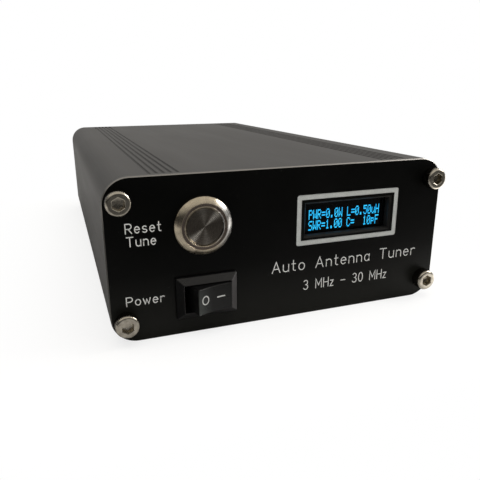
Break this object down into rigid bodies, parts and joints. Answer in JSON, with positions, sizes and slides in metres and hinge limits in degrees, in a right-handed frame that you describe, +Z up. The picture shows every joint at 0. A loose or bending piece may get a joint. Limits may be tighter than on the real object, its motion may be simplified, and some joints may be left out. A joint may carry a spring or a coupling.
{
  "type": "antenna tuner",
  "caption": "Small automatic antenna tuner in a black extruded box, with a metal pushbutton, a rocker switch and a narrow display in front and coaxial sockets behind.",
  "frame": {"origin": "centre of the underside of the case, at mid width and mid length of the case", "axes": "+X to the right seen from the front, +Y from the front plate to the rear plate, +Z up"},
  "size_m": [0.088, 0.1729, 0.0385],
  "materials": {
    "case": "black anodised, fine lengthwise extrusion grain, satin",
    "plate": "flat black anodised with light grey engraving",
    "stainless": "turned stainless steel",
    "nickel": "nickel-plated brass",
    "zinc": "zinc-plated steel",
    "gold": "gold-plated brass",
    "copper": "enamelled copper wire",
    "tinned": "tinned metal",
    "spring_steel": "spring steel wire",
    "black_plastic": "black nylon, slightly glossy",
    "base_plastic": "black phenolic",
    "rubber_seal": "soft black rubber",
    "foam": "black foam tape",
    "display_glass": "dark polished glass",
    "board_green": "green solder mask over glass fibre",
    "board_blue": "blue solder mask over glass fibre",
    "flex": "amber polyimide film",
    "white_plastic": "off-white fluoropolymer",
    "chip": "black moulded epoxy",
    "relay_case": "black moulded plastic",
    "film_capacitor": "red epoxy case",
    "can": "sleeved aluminium can",
    "powder_core": "red painted iron powder",
    "ferrite": "dark grey ferrite",
    "diode_glass": "orange glass bead",
    "wire_insulation": "coloured wire insulation",
    "coax_insulation": "black wire insulation"
  },
  "bodies": {
    "case": {"top_shell": "case", "bottom_shell": "case", "front_panel": "plate", "rear_panel": "plate", "front_panel_screws": "stainless", "rear_panel_screws": "stainless", "button_housing": "stainless", "button_seal": "rubber_seal", "button_nut": "nickel", "button_spring": "spring_steel", "button_base": "base_plastic", "button_terminals": "gold", "rocker_housing": "black_plastic", "rocker_pivot_terminal": "tinned", "rocker_end_terminal": "tinned", "display_glass": "display_glass", "display_gasket": "foam", "display_board": "board_blue", "display_header": "gold", "display_flex": "flex", "antenna_socket_shell": "nickel", "antenna_socket_insulator": "white_plastic", "antenna_socket_contact": "gold", "radio_socket_shell": "nickel", "radio_socket_insulator": "white_plastic", "radio_socket_contact": "gold", "socket_screws": "zinc", "socket_nuts": "zinc", "ground_lugs": "tinned", "dc_jack_body": "black_plastic", "dc_jack_pin": "nickel", "dc_jack_contact": "tinned", "dc_jack_nut": "nickel", "main_board": "board_green", "microcontroller": "chip", "relay_drivers": "chip", "voltage_regulator": "chip", "inductor_relays": "relay_case", "capacitor_relays": "relay_case", "network_relay": "relay_case", "toroid_cores": "powder_core", "toroid_windings": "copper", "air_coils": "copper", "tuning_capacitors": "film_capacitor", "coupler_cores": "ferrite", "coupler_windings": "copper", "electrolytic_capacitors": "can", "detector_diodes": "diode_glass", "board_headers": "white_plastic", "rf_cables": "coax_insulation", "power_wires": "wire_insulation", "button_wires": "wire_insulation", "display_cable": "wire_insulation"},
    "button": {"button_cap": "stainless", "button_plunger": "base_plastic", "button_moving_contact": "gold"},
    "rocker": {"rocker_paddle": "black_plastic", "rocker_plunger": "nickel", "rocker_spring": "spring_steel"},
    "rocker_contact": {"rocker_contact_bar": "copper"}
  },
  "joints": [
    {"name": "button_press", "type": "slide", "parent": "case", "child": "button", "axis": [0, 1, 0], "range_m": [0, 0.0015], "stiffness_N_per_m": 400, "springref_m": -0.004, "deforming": ["button_spring"]},
    {"name": "rocker_tilt", "type": "hinge", "parent": "case", "child": "rocker", "pos_m": [-0.0215, -0.0742, 0.00935], "axis": [0, 0, 1], "range_deg": [-30, 0]},
    {"name": "rocker_contact_tilt", "type": "hinge", "parent": "case", "child": "rocker_contact", "pos_m": [-0.0215, -0.06655, 0.00935], "axis": [0, 0, 1], "range_deg": [0, 16]}
  ],
  "couplings": [
    {"joint": "rocker_contact_tilt", "follows": "rocker_tilt", "ratio": -0.53333}
  ]
}
